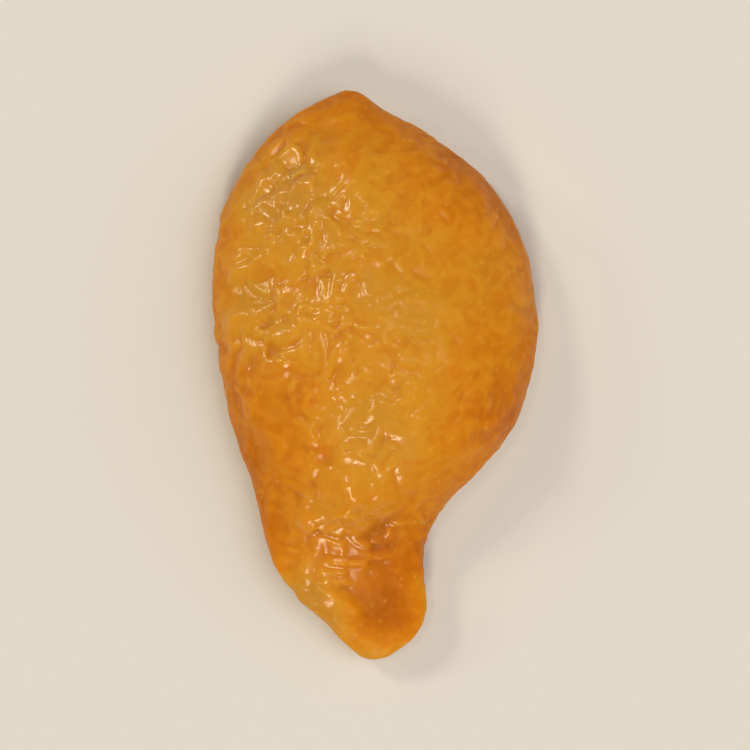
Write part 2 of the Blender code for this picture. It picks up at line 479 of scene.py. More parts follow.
@dataclass(frozen=True)
class Crinkle:
    """A node group for the height of the finest crinkles and pores.

    Attributes:
        name: the group's name.
        detail: how many finer layers the crinkles have.
        detail_strength: how strong each layer is against the one before.
        detail_scale: how much finer each layer is.
        distortion: how much the crinkles wander.
        pore_scale: how much finer the pores are than the crinkles.
        pore_smoothness: how softly pores run into each other.
        pore_share: how much of the height the pores take.
    """

    name: str = "crinkle"
    detail: float = 3.0
    detail_strength: float = 0.55
    detail_scale: float = 2.1
    distortion: float = 0.6
    pore_scale: float = 1.7
    pore_smoothness: float = 0.6
    pore_share: float = 0.35

    def build(self) -> bpy.types.NodeTree:
        """Makes the group.

        Returns:
            The group's tree: Vector and Scale in, Height out.
        """
        sockets = {"Vector": "NodeSocketVector", "Scale": "NodeSocketFloat"}
        group = new_group(self.name, sockets, {"Height": "NodeSocketFloat"})
        sheet = NodeSheet(group)
        given = group.nodes["Group Input"].outputs
        folds = sheet.node("ShaderNodeTexNoise", noise_type="RIDGED_MULTIFRACTAL", normalize=True)
        sheet.feed(folds, Vector=given["Vector"], Scale=given["Scale"], Detail=self.detail)
        sheet.feed(folds, Roughness=self.detail_strength, Lacunarity=self.detail_scale)
        sheet.feed(folds, Distortion=self.distortion)
        pores = sheet.node("ShaderNodeTexVoronoi", feature="SMOOTH_F1")
        pore_scale = sheet.maths("MULTIPLY", given["Scale"], self.pore_scale)
        sheet.feed(pores, Vector=given["Vector"], Scale=pore_scale)
        sheet.feed(pores, Smoothness=self.pore_smoothness)
        sunk = sheet.maths("MULTIPLY", pores.outputs["Distance"], self.pore_share)
        height = sheet.maths("SUBTRACT", folds.outputs["Fac"], sunk)
        sheet.join(height, group.nodes["Group Output"].inputs["Height"])
        return group


@dataclass(frozen=True)
class Mottle:
    """A node group for cloudy patches and pale specks in the flesh under the surface, the specks
    partly painted glints.

    Attributes:
        name: the group's name.
        cloud_scale: patches to a metre.
        cloud_detail: how many finer layers the patches have.
        cloud_roughness: how strong each layer is against the one before.
        cloud_distortion: how much the patches wander.
        cloud_range: the noise at which a patch starts and is full.
        speck_scale: specks to a metre.
        speck_size: how large a speck is, as a share of the space between two.
        speck_range: the noise at which specks start to show and are full.
    """

    name: str = "mottle"
    cloud_scale: float = 330.0
    cloud_detail: float = 4.0
    cloud_roughness: float = 0.6
    cloud_distortion: float = 0.4
    cloud_range: tuple[float, float] = (0.3, 0.7)
    speck_scale: float = 1400.0
    speck_size: float = 0.34
    speck_range: tuple[float, float] = (0.32, 0.58)

    def build(self) -> bpy.types.NodeTree:
        """Makes the group.

        Returns:
            The group's tree: Vector in, Cloud and SpeckGlint out.
        """
        outputs = {"Cloud": "NodeSocketFloat", "SpeckGlint": "NodeSocketFloat"}
        group = new_group(self.name, {"Vector": "NodeSocketVector"}, outputs)
        sheet = NodeSheet(group)
        vector = group.nodes["Group Input"].outputs["Vector"]
        ends = group.nodes["Group Output"].inputs
        cloud = sheet.node("ShaderNodeTexNoise")
        sheet.feed(cloud, Vector=vector, Scale=self.cloud_scale, Detail=self.cloud_detail)
        sheet.feed(cloud, Roughness=self.cloud_roughness, Distortion=self.cloud_distortion)
        sheet.join(sheet.span(cloud.outputs["Fac"], *self.cloud_range, 0.0, 1.0), ends["Cloud"])
        # Pale specks, partly painted glints.
        speck = sheet.node("ShaderNodeTexVoronoi", feature="F1")
        sheet.feed(speck, Vector=vector, Scale=self.speck_scale, Randomness=1.0)
        near = sheet.span(speck.outputs["Distance"], 0.0, self.speck_size, 1.0, 0.0)
        few = sheet.span(cloud.outputs["Fac"], *self.speck_range, 0.0, 1.0)
        sheet.join(sheet.maths("MULTIPLY", near, few), ends["SpeckGlint"])
        return group


@dataclass(frozen=True)
class Finish:
    """What the two finishes share: how light enters the fruit, and its sticky gloss.

    Attributes:
        name: the material's name.
        tones: place on the scale of ripeness, and colour there, from pale to deep.
        furrow_shade_colour: the painted shade that the furrows are multiplied with.
        speck_glint_colour: the colour of the pale specks, which are partly painted glints.
        speck_glint_strength: how strongly the specks and their painted glints show.
        patchiness: how far cloudy patches move the ripeness.
        roughness: the lowest and highest roughness.
        scatter: how far light wanders under the surface, for red, green and blue.
        scatter_share: how much of the light enters the surface.
        shine: strength of the plain reflection under the film.
        gloss: weight of the sticky film where it is dry and where it is sticky.
        gloss_roughness: roughness of the film.
        crinkle_scale: crinkles to a metre.
        crinkle_depth: depth of the finest crinkles.
    """

    name: str
    tones: tuple[tuple[float, Colour], ...]
    # Painted shade in the furrows.
    furrow_shade_colour: Colour
    # Pale specks, partly painted glints.
    speck_glint_colour: Colour
    speck_glint_strength: float
    patchiness: float
    roughness: tuple[float, float]
    scatter: Colour
    scatter_share: float
    shine: float
    gloss: tuple[float, float]
    gloss_roughness: float
    crinkle_scale: float
    crinkle_depth: float

    def material(
        self, mottle: bpy.types.NodeTree, crinkle: bpy.types.NodeTree
    ) -> bpy.types.Material:
        """Makes the material.

        Args:
            mottle: the group for patches and specks.
            crinkle: the group for the finest relief.

        Returns:
            The material.
        """
        material = bpy.data.materials.new(self.name)
        material.use_nodes = True
        sheet = NodeSheet(material.node_tree)
        shader = material.node_tree.nodes["Principled BSDF"]
        place = sheet.node("ShaderNodeTexCoord").outputs["Object"]
        patches = sheet.node("ShaderNodeGroup", node_tree=mottle)
        sheet.join(place, patches.inputs["Vector"])
        self._set_plain(shader)
        colour = self._colour(sheet, patches)
        sheet.join(colour, shader.inputs["Base Color"])
        roughness = sheet.span(patches.outputs["Cloud"], 0.0, 1.0, *self.roughness)
        sheet.join(roughness, shader.inputs["Roughness"])
        film = sheet.span(self._mask(sheet, Mask.STICKY), 0.0, 1.0, *self.gloss)
        sheet.join(film, shader.inputs["Coat Weight"])
        fine = sheet.node("ShaderNodeGroup", node_tree=crinkle)
        sheet.feed(fine, Vector=place, Scale=self.crinkle_scale)
        bump = sheet.node("ShaderNodeBump")
        sheet.feed(bump, Height=fine.outputs["Height"], Strength=1.0, Distance=self.crinkle_depth)
        sheet.join(bump.outputs["Normal"], shader.inputs["Normal"])
        return material

    def _set_plain(self, shader: bpy.types.Node) -> None:
        """Sets the values that are the same all over."""
        shader.subsurface_method = "RANDOM_WALK"
        shader.inputs["IOR"].default_value = REFRACTION
        shader.inputs["Specular IOR Level"].default_value = self.shine
        shader.inputs["Subsurface Weight"].default_value = self.scatter_share
        shader.inputs["Subsurface Radius"].default_value = self.scatter
        shader.inputs["Subsurface Scale"].default_value = 1.0
        shader.inputs["Coat Roughness"].default_value = self.gloss_roughness

    def _mask(self, sheet: NodeSheet, mask: Mask) -> bpy.types.NodeSocket:
        """Reads one of the skin's stored masks."""
        return sheet.node("ShaderNodeAttribute", attribute_name=mask.value).outputs["Fac"]

    def _colour(self, sheet: NodeSheet, patches: bpy.types.Node) -> bpy.types.NodeSocket:
        """Builds the colour from ripeness (which holds painted highlights and shade), patches,
        specks that are partly painted glints, and painted shade in the furrows.

        Args:
            sheet: the material's node sheet.
            patches: the placed mottle group.

        Returns:
            The colour's output.
        """
        shift = sheet.span(patches.outputs["Cloud"], 0.0, 1.0, -self.patchiness, self.patchiness)
        # The stored ripeness carries painted highlights and painted shade as well as the fruit's
        # tone.
        ripeness = sheet.maths("ADD", self._mask(sheet, Mask.RIPENESS_AND_LIGHT), shift)
        ramp = sheet.node("ShaderNodeValToRGB")
        sheet.join(ripeness, ramp.inputs["Fac"])
        stops = ramp.color_ramp.elements
        while len(stops) < len(self.tones):
            stops.new(1.0)
        for stop, (at, colour) in zip(stops, self.tones):
            stop.position = at
            stop.color = (*colour, 1.0)
        # Pale specks, partly painted glints.
        specks = sheet.maths("MULTIPLY", patches.outputs["SpeckGlint"], self.speck_glint_strength)
        colour = sheet.blend(specks, ramp.outputs["Color"], self.speck_glint_colour)
        # Painted shade: the colour is multiplied darker in the furrows.
        furrow = self._mask(sheet, Mask.FURROW_SHADE)
        return sheet.blend(furrow, colour, self.furrow_shade_colour, "MULTIPLY")


SKIN_FINISH = Finish(
    name="apricot_skin",
    tones=(
        (0.00, (0.61, 0.30, 0.034)),
        (0.25, (0.72, 0.335, 0.018)),
        (0.50, (0.72, 0.275, 0.007)),
        (0.75, (0.62, 0.195, 0.003)),
        (1.00, (0.49, 0.135, 0.0015)),
    ),
    # Painted shade in the skin's furrows.
    furrow_shade_colour=(0.92, 0.84, 0.74),
    # Pale specks, partly painted glints.
    speck_glint_colour=(0.88, 0.50, 0.08),
    speck_glint_strength=0.38,
    patchiness=0.06,
    roughness=(0.42, 0.58),
    scatter=(0.0030, 0.0011, 0.0002),
    scatter_share=0.75,
    shine=0.18,
    gloss=(0.0, 0.78),
    gloss_roughness=0.16,
    crinkle_scale=1500.0,
    crinkle_depth=0.00004,
)

FLESH_FINISH = Finish(
    name="cut_flesh",
    tones=(
        (0.00, (0.66, 0.28, 0.030)),
        (0.30, (0.64, 0.235, 0.018)),
        (0.55, (0.57, 0.170, 0.010)),
        (0.80, (0.46, 0.110, 0.007)),
        (1.00, (0.33, 0.065, 0.006)),
    ),
    # Painted shade in the furrows between the flesh's fibres.
    furrow_shade_colour=(0.66, 0.46, 0.32),
    # Pale specks, partly painted glints.
    speck_glint_colour=(0.80, 0.42, 0.10),
    speck_glint_strength=0.25,
    patchiness=0.16,
    roughness=(0.24, 0.50),
    scatter=(0.0026, 0.0009, 0.0002),
    scatter_share=0.55,
    shine=0.40,
    gloss=(0.30, 0.50),
    gloss_roughness=0.14,
    crinkle_scale=900.0,
    crinkle_depth=0.00018,
)


@dataclass
class ApricotHalf:
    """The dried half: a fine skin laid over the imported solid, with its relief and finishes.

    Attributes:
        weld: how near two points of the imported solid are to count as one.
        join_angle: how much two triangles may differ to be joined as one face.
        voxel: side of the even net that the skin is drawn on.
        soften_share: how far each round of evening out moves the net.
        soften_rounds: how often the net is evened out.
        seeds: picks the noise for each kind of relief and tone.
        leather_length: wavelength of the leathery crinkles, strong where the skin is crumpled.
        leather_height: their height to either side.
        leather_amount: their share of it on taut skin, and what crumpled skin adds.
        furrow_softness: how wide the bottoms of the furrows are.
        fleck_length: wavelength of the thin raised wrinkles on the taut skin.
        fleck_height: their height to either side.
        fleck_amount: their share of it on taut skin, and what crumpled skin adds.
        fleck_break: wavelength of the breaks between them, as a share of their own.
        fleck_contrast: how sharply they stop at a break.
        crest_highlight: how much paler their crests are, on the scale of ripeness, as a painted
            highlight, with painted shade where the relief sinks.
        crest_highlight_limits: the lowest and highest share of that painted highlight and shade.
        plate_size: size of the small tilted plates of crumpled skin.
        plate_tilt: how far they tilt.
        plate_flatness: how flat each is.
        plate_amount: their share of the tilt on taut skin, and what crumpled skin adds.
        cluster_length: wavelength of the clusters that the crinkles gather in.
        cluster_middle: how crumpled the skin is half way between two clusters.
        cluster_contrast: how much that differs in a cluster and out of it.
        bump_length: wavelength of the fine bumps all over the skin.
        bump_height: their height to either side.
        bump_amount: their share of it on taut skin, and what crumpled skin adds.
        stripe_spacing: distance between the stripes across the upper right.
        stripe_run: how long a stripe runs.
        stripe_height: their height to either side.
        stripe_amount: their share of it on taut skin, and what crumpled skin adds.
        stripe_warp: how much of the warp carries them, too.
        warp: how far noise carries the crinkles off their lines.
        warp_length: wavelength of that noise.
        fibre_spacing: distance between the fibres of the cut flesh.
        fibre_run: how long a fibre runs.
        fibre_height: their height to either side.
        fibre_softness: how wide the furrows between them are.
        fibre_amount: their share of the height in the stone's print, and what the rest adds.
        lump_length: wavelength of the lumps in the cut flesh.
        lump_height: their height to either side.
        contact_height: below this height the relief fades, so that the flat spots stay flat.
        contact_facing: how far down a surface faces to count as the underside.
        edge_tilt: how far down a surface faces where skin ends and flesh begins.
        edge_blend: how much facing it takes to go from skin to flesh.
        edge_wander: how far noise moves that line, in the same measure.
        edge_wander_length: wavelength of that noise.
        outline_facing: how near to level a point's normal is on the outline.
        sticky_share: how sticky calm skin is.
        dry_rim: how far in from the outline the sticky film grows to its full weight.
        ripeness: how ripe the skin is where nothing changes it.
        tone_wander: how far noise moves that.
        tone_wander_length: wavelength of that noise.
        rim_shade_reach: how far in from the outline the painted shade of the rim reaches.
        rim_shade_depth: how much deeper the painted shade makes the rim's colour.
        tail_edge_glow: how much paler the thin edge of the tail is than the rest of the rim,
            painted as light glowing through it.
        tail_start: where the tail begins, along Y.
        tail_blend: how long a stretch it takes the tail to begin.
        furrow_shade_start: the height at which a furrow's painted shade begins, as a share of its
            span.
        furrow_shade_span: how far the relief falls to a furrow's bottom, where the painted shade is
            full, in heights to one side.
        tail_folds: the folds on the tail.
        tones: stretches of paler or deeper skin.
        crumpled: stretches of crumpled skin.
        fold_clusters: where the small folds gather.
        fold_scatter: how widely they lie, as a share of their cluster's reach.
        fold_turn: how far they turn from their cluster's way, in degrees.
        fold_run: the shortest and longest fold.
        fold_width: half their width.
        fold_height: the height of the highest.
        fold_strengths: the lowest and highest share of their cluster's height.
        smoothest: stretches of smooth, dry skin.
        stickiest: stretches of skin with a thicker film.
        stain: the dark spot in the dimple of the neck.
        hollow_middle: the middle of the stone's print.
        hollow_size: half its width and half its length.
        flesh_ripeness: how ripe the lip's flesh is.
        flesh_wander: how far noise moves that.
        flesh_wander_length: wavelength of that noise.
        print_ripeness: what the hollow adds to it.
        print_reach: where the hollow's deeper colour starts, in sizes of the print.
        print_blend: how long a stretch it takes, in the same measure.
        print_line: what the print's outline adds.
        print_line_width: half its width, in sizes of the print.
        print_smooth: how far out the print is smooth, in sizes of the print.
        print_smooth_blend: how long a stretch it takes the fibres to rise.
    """

    weld: float = 0.001 * MM
    join_angle: float = math.radians(40)
    voxel: float = 0.19 * MM
    soften_share: float = 0.5
    soften_rounds: int = 5
    seeds: Seeds = Seeds()

    leather_length: float = 1.9 * MM
    leather_height: float = 0.085 * MM
    leather_amount: Amount = Amount(0.30, 0.35)
    furrow_softness: float = 0.02
    fleck_length: float = 1.35 * MM
    fleck_height: float = 0.055 * MM
    fleck_amount: Amount = Amount(1.0, -0.8)
    fleck_break: float = 0.7
    fleck_contrast: float = 1.1
    # Painted highlight on raised crests and painted shade where the relief sinks.
    crest_highlight: float = 0.09
    crest_highlight_limits: tuple[float, float] = (-0.5, 1.0)
    plate_size: float = 1.25 * MM
    plate_tilt: float = 0.50
    plate_flatness: float = 12.0
    plate_amount: Amount = Amount(0.25, 0.95)
    cluster_length: float = 3.4 * MM
    cluster_middle: float = 0.55
    cluster_contrast: float = 0.9
    bump_length: float = 0.62 * MM
    bump_height: float = 0.014 * MM
    bump_amount: Amount = Amount(1.5, -1.2)
    stripe_spacing: float = 0.62 * MM
    stripe_run: float = 3.0 * MM
    stripe_height: float = 0.020 * MM
    stripe_amount: Amount = Amount(1.0, -1.0)
    stripe_warp: float = 0.3
    warp: float = 0.5 * MM
    warp_length: float = 2.2 * MM
    fibre_spacing: float = 0.8 * MM
    fibre_run: float = 5.0 * MM
    fibre_height: float = 0.07 * MM
    fibre_softness: float = 0.03
    fibre_amount: Amount = Amount(0.25, 0.75)
    lump_length: float = 1.6 * MM
    lump_height: float = 0.06 * MM
    contact_height: float = 0.35 * MM
    contact_facing: float = -0.5
    edge_tilt: float = 0.38
    edge_blend: float = 0.30
    edge_wander: float = 0.08
    edge_wander_length: float = 4.0 * MM
    outline_facing: float = 0.06
    sticky_share: float = 0.55
    dry_rim: float = 2.2 * MM
    ripeness: float = 0.5
    tone_wander: float = 0.05
    tone_wander_length: float = 5.0 * MM
    # Painted shade along the rim, and a painted glow of light through the tail's thin edge.
    rim_shade_reach: float = 1.6 * MM
    rim_shade_depth: float = 0.22
    tail_edge_glow: float = 0.50
    tail_start: float = -15.5 * MM
    tail_blend: float = 3.0 * MM
    furrow_shade_start: float = 0.35
    furrow_shade_span: float = 2.5

    tail_folds: tuple[Fold, ...] = (
        Fold((-3.42 * MM, -15.6 * MM), (-0.96 * MM, -15.7 * MM), 0.26 * MM, 0.16 * MM),
        Fold((-4.40 * MM, -16.4 * MM), (-2.68 * MM, -16.5 * MM), 0.26 * MM, 0.17 * MM),
        Fold((-4.13 * MM, -17.1 * MM), (-2.44 * MM, -17.3 * MM), 0.26 * MM, 0.17 * MM),
        Fold((-3.60 * MM, -18.1 * MM), (-2.50 * MM, -18.4 * MM), 0.26 * MM, 0.15 * MM),
        Fold((-4.64 * MM, -17.8 * MM), (-1.70 * MM, -19.6 * MM), 0.40 * MM, 0.30 * MM),
        Fold((-6.20 * MM, -18.6 * MM), (-5.30 * MM, -19.3 * MM), 0.36 * MM, 0.16 * MM),
    )
    tones: tuple[Patch | Band, ...] = (
        Patch((-2.0 * MM, 22.0 * MM), 5.0 * MM, 0.06),
        Patch((-7.5 * MM, 15.0 * MM), 6.5 * MM, -0.34),
        Patch((-10.6 * MM, 5.0 * MM), 3.8 * MM, -0.22),
        Patch((-8.5 * MM, -6.5 * MM), 4.0 * MM, 0.12),
        Patch((2.5 * MM, 6.0 * MM), 7.0 * MM, -0.26),
        Patch((0.0 * MM, -4.5 * MM), 4.5 * MM, -0.24),
        Patch((10.5 * MM, -2.0 * MM), 5.0 * MM, 0.17),
        Patch((7.5 * MM, -8.0 * MM), 4.0 * MM, 0.02),
        Patch((1.5 * MM, -20.0 * MM), 5.0 * MM, 0.42),
        Band((-6.6 * MM, -16.4 * MM), (-3.0 * MM, -20.6 * MM), 1.5 * MM, -0.32),
        Patch((9.0 * MM, 16.0 * MM), 4.5 * MM, 0.16),
        Patch((4.0 * MM, -17.5 * MM), 2.4 * MM, -0.18),
        Patch((0.0 * MM, -23.5 * MM), 2.6 * MM, -0.20),
    )
    crumpled: tuple[Patch, ...] = (
        Patch((-5.5 * MM, 14.0 * MM), 6.0 * MM, 1.0),
        Patch((-10.5 * MM, 4.5 * MM), 4.5 * MM, 0.9),
        Patch((-3.0 * MM, 2.0 * MM), 4.0 * MM, 0.45),
        Patch((-0.5 * MM, -7.0 * MM), 4.5 * MM, 0.8),
        Patch((-3.0 * MM, -12.5 * MM), 4.0 * MM, 0.6),
        Patch((0.5 * MM, -14.0 * MM), 2.5 * MM, 0.2),
    )
    fold_clusters: tuple[FoldCluster, ...] = (
        FoldCluster(Patch((-6.0 * MM, 15.5 * MM), 3.0 * MM, 0.9), 20, 50.0),
        FoldCluster(Patch((-9.0 * MM, 13.0 * MM), 2.4 * MM, 0.9), 14, 50.0),
        FoldCluster(Patch((-5.4 * MM, 10.8 * MM), 1.4 * MM, 1.1), 5, 30.0),
        FoldCluster(Patch((-11.8 * MM, 9.2 * MM), 1.0 * MM, 0.9), 3, 60.0),
        FoldCluster(Patch((-10.4 * MM, 4.6 * MM), 2.2 * MM, 0.7), 12, 50.0),
        FoldCluster(Patch((-5.6 * MM, 4.4 * MM), 2.0 * MM, 0.7), 9, 60.0),
        FoldCluster(Patch((-1.0 * MM, 15.0 * MM), 2.8 * MM, 0.7), 9, 55.0),
        FoldCluster(Patch((-1.0 * MM, -6.4 * MM), 1.2 * MM, 1.1), 5, 15.0),
        FoldCluster(Patch((-1.0 * MM, -9.7 * MM), 1.8 * MM, 1.0), 16, 15.0),
        FoldCluster(Patch((-2.2 * MM, -8.6 * MM), 2.6 * MM, 0.8), 18, 15.0),
        FoldCluster(Patch((-2.4 * MM, -11.6 * MM), 1.4 * MM, 1.1), 8, 10.0),
        FoldCluster(Patch((-5.3 * MM, -11.8 * MM), 1.4 * MM, 0.9), 6, 20.0),
        FoldCluster(Patch((-2.0 * MM, -1.0 * MM), 7.0 * MM, 0.5), 34, 35.0),
        FoldCluster(Patch((2.5 * MM, 4.0 * MM), 6.0 * MM, 0.35), 40, 20.0),
        FoldCluster(Patch((5.0 * MM, -3.0 * MM), 3.5 * MM, 0.45), 24, 60.0),
    )
    fold_scatter: float = 0.5
    fold_turn: float = 28.0
    fold_run: tuple[float, float] = (0.3 * MM, 1.5 * MM)
    fold_width: float = 0.56 * MM
    fold_height: float = 0.17 * MM
    fold_strengths: tuple[float, float] = (0.5, 1.0)
    smoothest: tuple[Patch, ...] = (
        Patch((2.2 * MM, -19.4 * MM), 3.9 * MM, 1.0),
        Patch((-1.2 * MM, -17.6 * MM), 1.4 * MM, 0.7),
        Patch((11.5 * MM, 2.0 * MM), 3.5 * MM, 0.45),
        Patch((6.0 * MM, -8.0 * MM), 3.5 * MM, 0.45),
        Patch((-9.0 * MM, -6.0 * MM), 3.5 * MM, 0.5),
        Patch((-2.0 * MM, 21.5 * MM), 3.0 * MM, 0.5),
    )
    stickiest: tuple[Patch, ...] = (
        Patch((-3.3 * MM, -18.5 * MM), 1.7 * MM, 0.60),
        Patch((-3.4 * MM, -16.6 * MM), 1.5 * MM, 0.40),
        Patch((-5.7 * MM, -18.9 * MM), 1.0 * MM, 0.50),
        Patch((-2.2 * MM, -10.2 * MM), 2.8 * MM, 0.30),
    )
    stain: Patch = Patch((0.45 * MM, -13.75 * MM), 1.6 * MM, 0.34)

    hollow_middle: Point = (0.0, 4.5 * MM)
    hollow_size: tuple[float, float] = (6.8 * MM, 10.8 * MM)
    flesh_ripeness: float = 0.22
    flesh_wander: float = 0.08
    flesh_wander_length: float = 2.6 * MM
    print_ripeness: float = 0.40
    print_reach: float = 1.35
    print_blend: float = 0.6
    print_line: float = 0.16
    print_line_width: float = 0.12
    print_smooth: float = 0.75
    print_smooth_blend: float = 0.5

    def build(self) -> bpy.types.Object:
        """Makes the whole piece.

        Returns:
            The dressed fruit.
        """
        mesh = self._fine_net()
        points, normals = self._read(mesh)
        skin = self._skin_share(points, normals)
        inward = self._distance_from_outline(points, normals)
        raised = skin * self._skin_relief(points) + (1.0 - skin) * self._flesh_relief(points)
        raised *= self._free_of_table(points, normals)
        shaped = points + normals * raised[:, None]
        shaped[:, 2] = np.maximum(shaped[:, 2], 0.0)
        mesh.vertices.foreach_set("co", shaped.ravel())
        mesh.update()
        # The fruit's tone together with painted highlights, painted shade and a painted glow.
        self._store(mesh, Mask.RIPENESS_AND_LIGHT, self._ripeness_and_painted_light(points, skin, inward, raised))
        # Painted shade where the relief sinks, on skin and flesh.
        self._store(mesh, Mask.FURROW_SHADE, self._furrow_shade(raised, skin))
        self._store(mesh, Mask.STICKY, self._stickiness(points, inward))
        self._dress(mesh, skin)
        fruit = bpy.data.objects.new("apricot_half_skin", mesh)
        bpy.context.scene.collection.objects.link(fruit)
        return fruit

    def _fine_net(self) -> bpy.types.Mesh:
        """Draws an even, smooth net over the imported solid.

        Returns:
            The net as a new mesh.
        """
        net = bmesh.new()
        net.from_mesh(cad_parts[NODE].data)
        bmesh.ops.remove_doubles(net, verts=net.verts[:], dist=self.weld)
        bmesh.ops.join_triangles(
            net,
            faces=net.faces[:],
            angle_face_threshold=self.join_angle,
            angle_shape_threshold=self.join_angle,
        )
        base = bpy.data.meshes.new("packed_form")
        net.to_mesh(base)
        net.free()
        form = bpy.data.objects.new("packed_form", base)
        bpy.context.scene.collection.objects.link(form)
        rounded = form.modifiers.new("rounded", "SUBSURF")
        rounded.levels = 1
        rounded.render_levels = 1
        even = form.modifiers.new("even", "REMESH")
        even.mode = "VOXEL"
        even.voxel_size = self.voxel
        soft = form.modifiers.new("soft", "SMOOTH")
        soft.factor = self.soften_share
        soft.iterations = self.soften_rounds
        seen = form.evaluated_get(bpy.context.evaluated_depsgraph_get())
        mesh = bpy.data.meshes.new_from_object(seen)
        bpy.data.objects.remove(form)
        bpy.data.meshes.remove(base)
        return mesh

    def _read(self, mesh: bpy.types.Mesh) -> tuple[np.ndarray, np.ndarray]:
        """Reads a mesh's points and normals.

        Args:
            mesh: the mesh.

        Returns:
            Points and normals, one row for each vertex.
        """
        points = np.empty(len(mesh.vertices) * 3)
        mesh.vertices.foreach_get("co", points)
        normals = np.empty(len(mesh.vertices) * 3)
        mesh.vertex_normals.foreach_get("vector", normals)
        return points.reshape(-1, 3), normals.reshape(-1, 3)

    def _skin_share(self, points: np.ndarray, normals: np.ndarray) -> np.ndarray:
        """Tells skin from cut flesh by how far down the surface faces.

        Args:
            points: the net's points.
            normals: their normals.

        Returns:
            1 on the skin, 0 on the flesh, and between them along the lip.
        """
        uneven = self.edge_wander * grain(points, self.edge_wander_length, self.seeds.edge)
        return ease(0.5 + (normals[:, 2] + self.edge_tilt + uneven) / self.edge_blend)

    def _distance_from_outline(self, points: np.ndarray, normals: np.ndarray) -> np.ndarray:
        """How far in from the fruit's outline each point lies, seen from above.

        Args:
            points: the net's points.
            normals: their normals.

        Returns:
            A distance for each point.
        """
        rim = points[np.abs(normals[:, 2]) < self.outline_facing]
        tree = kdtree.KDTree(len(rim))
        for index, (x, y, _) in enumerate(rim):
            tree.insert(Vector((x, y, 0.0)), index)
        tree.balance()
        return np.array([tree.find(Vector((x, y, 0.0)))[2] for x, y, _ in points])

    def _free_of_table(self, points: np.ndarray, normals: np.ndarray) -> np.ndarray:
        """Fades the relief to nothing at the flat spots that the fruit rests on.

        Args:
            points: the net's points.
            normals: their normals.

        Returns:
            0 on the table, 1 clear of it.
        """
        above = ease(points[:, 2] / self.contact_height)
        return np.where(normals[:, 2] < self.contact_facing, above, 1.0)

    def _skin_relief(self, points: np.ndarray) -> np.ndarray:
        """Height of the skin's crinkles, stripes and folds.

        Args:
            points: the net's points.

        Returns:
            A height for each point.
        """
        shifts = [grain(points, self.warp_length, seed) for seed in self.seeds.warp]
        carry = np.column_stack(shifts)
        carried = points + self.warp * carry
        crumple = self._crumple_share(points)
        relief = self.leather_height * self._leather(carried) * self.leather_amount.over(crumple)
        relief += self.fleck_height * self._flecks(carried) * self.fleck_amount.over(crumple)
        tilted = plates(carried, self.plate_size, self.plate_flatness, self.seeds.plate)
        relief += self.plate_tilt * self.plate_size * tilted * self.plate_amount.over(crumple)
        relief *= 1.0 - total(self.smoothest, points)
        bumps = grain(carried, self.bump_length, self.seeds.bump)
        relief += self.bump_height * bumps * self.bump_amount.over(crumple)
        across = (self.stripe_run, self.stripe_spacing, self.stripe_spacing)
        stripes = grain(points + self.stripe_warp * self.warp * carry, across, self.seeds.stripe)
        relief += self.stripe_height * stripes * self.stripe_amount.over(crumple)
        for fold in (*self.tail_folds, *self._small_folds()):
            relief += fold.height * near_line(points, fold.start, fold.end, fold.width)
        return relief

    def _leather(self, carried: np.ndarray) -> np.ndarray:
        """The leathery crinkles' heights, from about -1 to 1."""
        return ridges(grain(carried, self.leather_length, self.seeds.leather), self.furrow_softness)

    def _flecks(self, carried: np.ndarray) -> np.ndarray:
        """Height of the thin raised wrinkles, which break off here and there.

        Args:
            carried: the net's points, carried off their lines by noise.

        Returns:
            A height for each point, from about -1 to 1.
        """
        raised = -ridges(grain(carried, self.fleck_length, self.seeds.fleck), self.furrow_softness)
        breaks = grain(carried, self.fleck_break * self.fleck_length, self.seeds.fleck_break)
        return raised * ease(0.5 + self.fleck_contrast * breaks)

    def _crumple_share(self, points: np.ndarray) -> np.ndarray:
        """How crumpled the skin is.

        Args:
            points: the net's points.

        Returns:
            0 where taut to 1 where crumpled.
        """
        clusters = grain(points, self.cluster_length, self.seeds.cluster)
        clustered = ease(self.cluster_middle + self.cluster_contrast * clusters)
        return total(self.crumpled, points) * clustered

    def _stickiness(self, points: np.ndarray, inward: np.ndarray) -> np.ndarray:
        """How thick the sticky film is: most on crumpled skin, none at the rim.

        Args:
            points: the net's points.
            inward: distance in from the outline.

        Returns:
            0 where dry to 1 where stickiest.
        """
        sticky = self.sticky_share + self._crumple_share(points)
        sticky += total(self.stickiest, points) - total(self.smoothest, points)
        return np.clip(sticky, 0.0, 1.0) * ease(inward / self.dry_rim)

    def _small_folds(self) -> list[Fold]:
        """Scatters short folds over the crumpled skin.

        Returns:
            The folds.
        """
        draw = np.random.default_rng(self.seeds.folds)
        folds = []
        for cluster in self.fold_clusters:
            patch = cluster.patch
            for _ in range(cluster.count):
                off = draw.normal(0.0, self.fold_scatter * patch.reach, 2)
                middle = np.array(patch.place) + off
                angle = math.radians(cluster.turn + draw.normal(0.0, self.fold_turn))
                way = np.array((math.cos(angle), math.sin(angle)))
                half = 0.5 * draw.uniform(*self.fold_run) * way
                height = patch.strength * draw.uniform(*self.fold_strengths) * self.fold_height
                ends = tuple(middle - half), tuple(middle + half)
                folds.append(Fold(*ends, self.fold_width, height))
        return folds

    def _in_print(self, points: np.ndarray) -> np.ndarray:
        """Places points by the stone's print.

        Args:
            points: the net's points.

        Returns:
            How far across and along each point lies from the middle, in sizes of the print.
        """
        return (points[:, :2] - np.array(self.hollow_middle)) / np.array(self.hollow_size)

